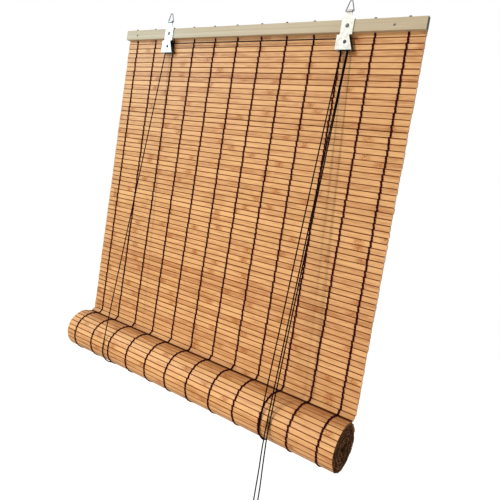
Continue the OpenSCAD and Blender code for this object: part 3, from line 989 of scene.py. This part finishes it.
class BLIND_OT_finishes(bpy.types.Operator):
    """Give the rail, the nails and the brackets their finishes"""
    bl_idname = "blind.finishes"
    bl_label = "Rail and Bracket Finishes"

    def execute(self, context):
        colours = context.scene.blind_colours
        steel = metal_finish("drawn steel", colours.steel, rough=0.26)
        finishes = {
            "batten": pine_finish(colours),
            "rivet": metal_finish("dark rivet steel", colours.rivet, rough=0.2),
            "screw": steel,
            "nail": steel,
            "loop": steel,
            "pulley": soft_finish(
                "moulded nylon", colours.nylon, scale=120.0, rough=0.4, bump=0.1, gloss=0.5),
        }
        plated = metal_finish("zinc plate", colours.zinc, rough=0.43, front=BRACKET_FRONT)
        for name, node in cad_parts.items():
            if any(word in name for word in ("cord", "thread", "slats")):
                continue
            chosen = next((finishes[word] for word in finishes if word in name), plated)
            node.data.materials.clear()
            node.data.materials.append(chosen)
        return {"FINISHED"}


class BLIND_OT_stage(bpy.types.Operator):
    """Set the camera, the lamps, the floor and the white surroundings"""
    bl_idname = "blind.stage"
    bl_label = "Stage"

    def execute(self, context):
        scene = context.scene
        scene.view_settings.view_transform = "Standard"
        add_camera(scene)
        add_lamps(scene)
        add_floor(scene)
        light_world(scene)
        return {"FINISHED"}


# The photograph's camera; its axis lies above the picture's middle by that share of the width
CAMERA_PLACE = Vector((549.1, -700.4, -281.8)) * MM
CAMERA_FORWARD = Vector((-0.5635, 0.8210, -0.0925))
CAMERA_UP = Vector((-0.1821, -0.0142, 0.9832))
CAMERA_LENS = 37.04
CAMERA_SENSOR = 36.0
CAMERA_NEAR = 0.01
AXIS_ABOVE_MIDDLE = 21.41 / 500


def add_camera(scene):
    """The photograph's camera."""
    data = bpy.data.cameras.new("camera")
    data.lens = CAMERA_LENS
    data.sensor_width = CAMERA_SENSOR
    data.shift_y = -AXIS_ABOVE_MIDDLE
    data.clip_start = CAMERA_NEAR
    camera = bpy.data.objects.new("camera", data)
    back = -CAMERA_FORWARD.normalized()
    right = CAMERA_UP.cross(back).normalized()
    up = back.cross(right)
    turn = Matrix((right, up, back)).transposed().to_4x4()
    camera.matrix_world = Matrix.Translation(CAMERA_PLACE) @ turn
    scene.collection.objects.link(camera)
    scene.camera = camera


SUN_FROM = Vector((-0.46, -0.72, 0.43))
SUN_ENERGY = 1.55
SUN_COLOUR = (1.0, 0.93, 0.84)
SUN_ANGLE = math.radians(4)
# Soft boxes: watts, colour, place, the point that each shines at, and size
SOFT_BOXES = {
    "window": (4.2, (0.42, 0.74, 1.0), Vector((-0.75, -0.55, 0.10)), Vector((-0.20, 0.0, -0.30)), 0.35),
    "fill": (2.3, (1.0, 0.93, 0.82), Vector((0.0, -0.75, -0.58)), Vector((0.0, 0.0, -0.45)), 0.4),
}


def add_lamp(scene, name, kind, energy, colour, back):
    """A lamp that shines against the way back to it."""
    data = bpy.data.lights.new(name, kind)
    data.energy = energy
    data.color = colour
    lamp = bpy.data.objects.new(name, data)
    lamp.rotation_euler = back.to_track_quat("Z", "Y").to_euler()
    scene.collection.objects.link(lamp)
    return lamp


def add_lamps(scene):
    """A warm key light from the upper left, a cool soft box at the left and a low warm one in front."""
    key = add_lamp(scene, "key", "SUN", SUN_ENERGY, SUN_COLOUR, SUN_FROM)
    key.data.angle = SUN_ANGLE
    for name, (energy, colour, place, aim, size) in SOFT_BOXES.items():
        box = add_lamp(scene, name, "AREA", energy, colour, place - aim)
        box.location = place
        box.data.size = size
        box.visible_camera = False


FLOOR_DROP = 1.9
FLOOR_SIZE = 12.0
FLOOR_TONE = 0.9
FLOOR_ROUGH = 0.9
FLOOR_GLOW = 0.55


def add_floor(scene):
    """A pale floor below the hung blind."""
    mesh = bmesh.new()
    bmesh.ops.create_grid(mesh, x_segments=1, y_segments=1, size=FLOOR_SIZE / 2)
    mesh.transform(Matrix.Translation((0.0, 0.0, -FLOOR_DROP)))
    data = bpy.data.meshes.new("floor")
    mesh.to_mesh(data)
    mesh.free()
    floor = bpy.data.objects.new("floor", data)
    scene.collection.objects.link(floor)
    material, tree, shader = blank_material("pale floor")
    shader.inputs["Base Color"].default_value = (FLOOR_TONE, FLOOR_TONE, FLOOR_TONE, 1.0)
    shader.inputs["Roughness"].default_value = FLOOR_ROUGH
    # A glow that only the camera sees lifts the lit floor to white and leaves the shadow
    rays = tree.nodes.new("ShaderNodeLightPath")
    glow = math_node(tree, "MULTIPLY", rays.outputs["Is Camera Ray"], FLOOR_GLOW)
    shader.inputs["Emission Color"].default_value = (1.0, 1.0, 1.0, 1.0)
    tree.links.new(glow, shader.inputs["Emission Strength"])
    data.materials.append(material)


# Strength of the world as a light; the camera and reflections see it at 1
WORLD_STRENGTH = 0.37


def light_world(scene):
    """White to the camera and in reflections, and a plain fill light on the object."""
    world = bpy.data.worlds.new("white room")
    scene.world = world
    world.use_nodes = True
    tree = world.node_tree
    rays = tree.nodes.new("ShaderNodeLightPath")
    seen = math_node(tree, "MAXIMUM", rays.outputs["Is Camera Ray"], rays.outputs["Is Glossy Ray"])
    seen = math_node(tree, "MAXIMUM", seen, rays.outputs["Is Transmission Ray"])
    strength = math_node(tree, "MULTIPLY_ADD", seen, 1.0 - WORLD_STRENGTH, WORLD_STRENGTH)
    background = tree.nodes["Background"]
    background.inputs["Color"].default_value = (1.0, 1.0, 1.0, 1.0)
    tree.links.new(strength, background.inputs["Strength"])


class BLIND_PT_panel(bpy.types.Panel):
    """Sidebar panel with the blind's pieces"""
    bl_idname = "BLIND_PT_panel"
    bl_label = "Bamboo Blind"
    bl_space_type = "VIEW_3D"
    bl_region_type = "UI"
    bl_category = "Blind"

    def draw(self, context):
        for operator in OPERATORS:
            self.layout.operator(operator.bl_idname)


SETTINGS = {
    "blind_mat": MatSizes, "blind_roll": RollSizes, "blind_cord": CordSizes, "blind_colours": BlindColours}
OPERATORS = (
    BLIND_OT_stage, BLIND_OT_cords, BLIND_OT_hanging_mat, BLIND_OT_rolled_mat, BLIND_OT_warp_threads,
    BLIND_OT_finishes)


def register():
    """Registers the settings, the operators and the panel."""
    for group in (*SETTINGS.values(), *OPERATORS, BLIND_PT_panel):
        bpy.utils.register_class(group)
    for name, group in SETTINGS.items():
        setattr(bpy.types.Scene, name, PointerProperty(type=group))


def unregister():
    """Takes the settings, the operators and the panel away again."""
    for name in SETTINGS:
        delattr(bpy.types.Scene, name)
    for group in reversed((*SETTINGS.values(), *OPERATORS, BLIND_PT_panel)):
        bpy.utils.unregister_class(group)


def main():
    """Builds the whole blind."""
    register()
    bpy.ops.blind.stage()
    bpy.ops.blind.cords()
    bpy.ops.blind.hanging_mat()
    bpy.ops.blind.rolled_mat()
    bpy.ops.blind.warp_threads()
    bpy.ops.blind.finishes()


if __name__ == "__main__":
    main()
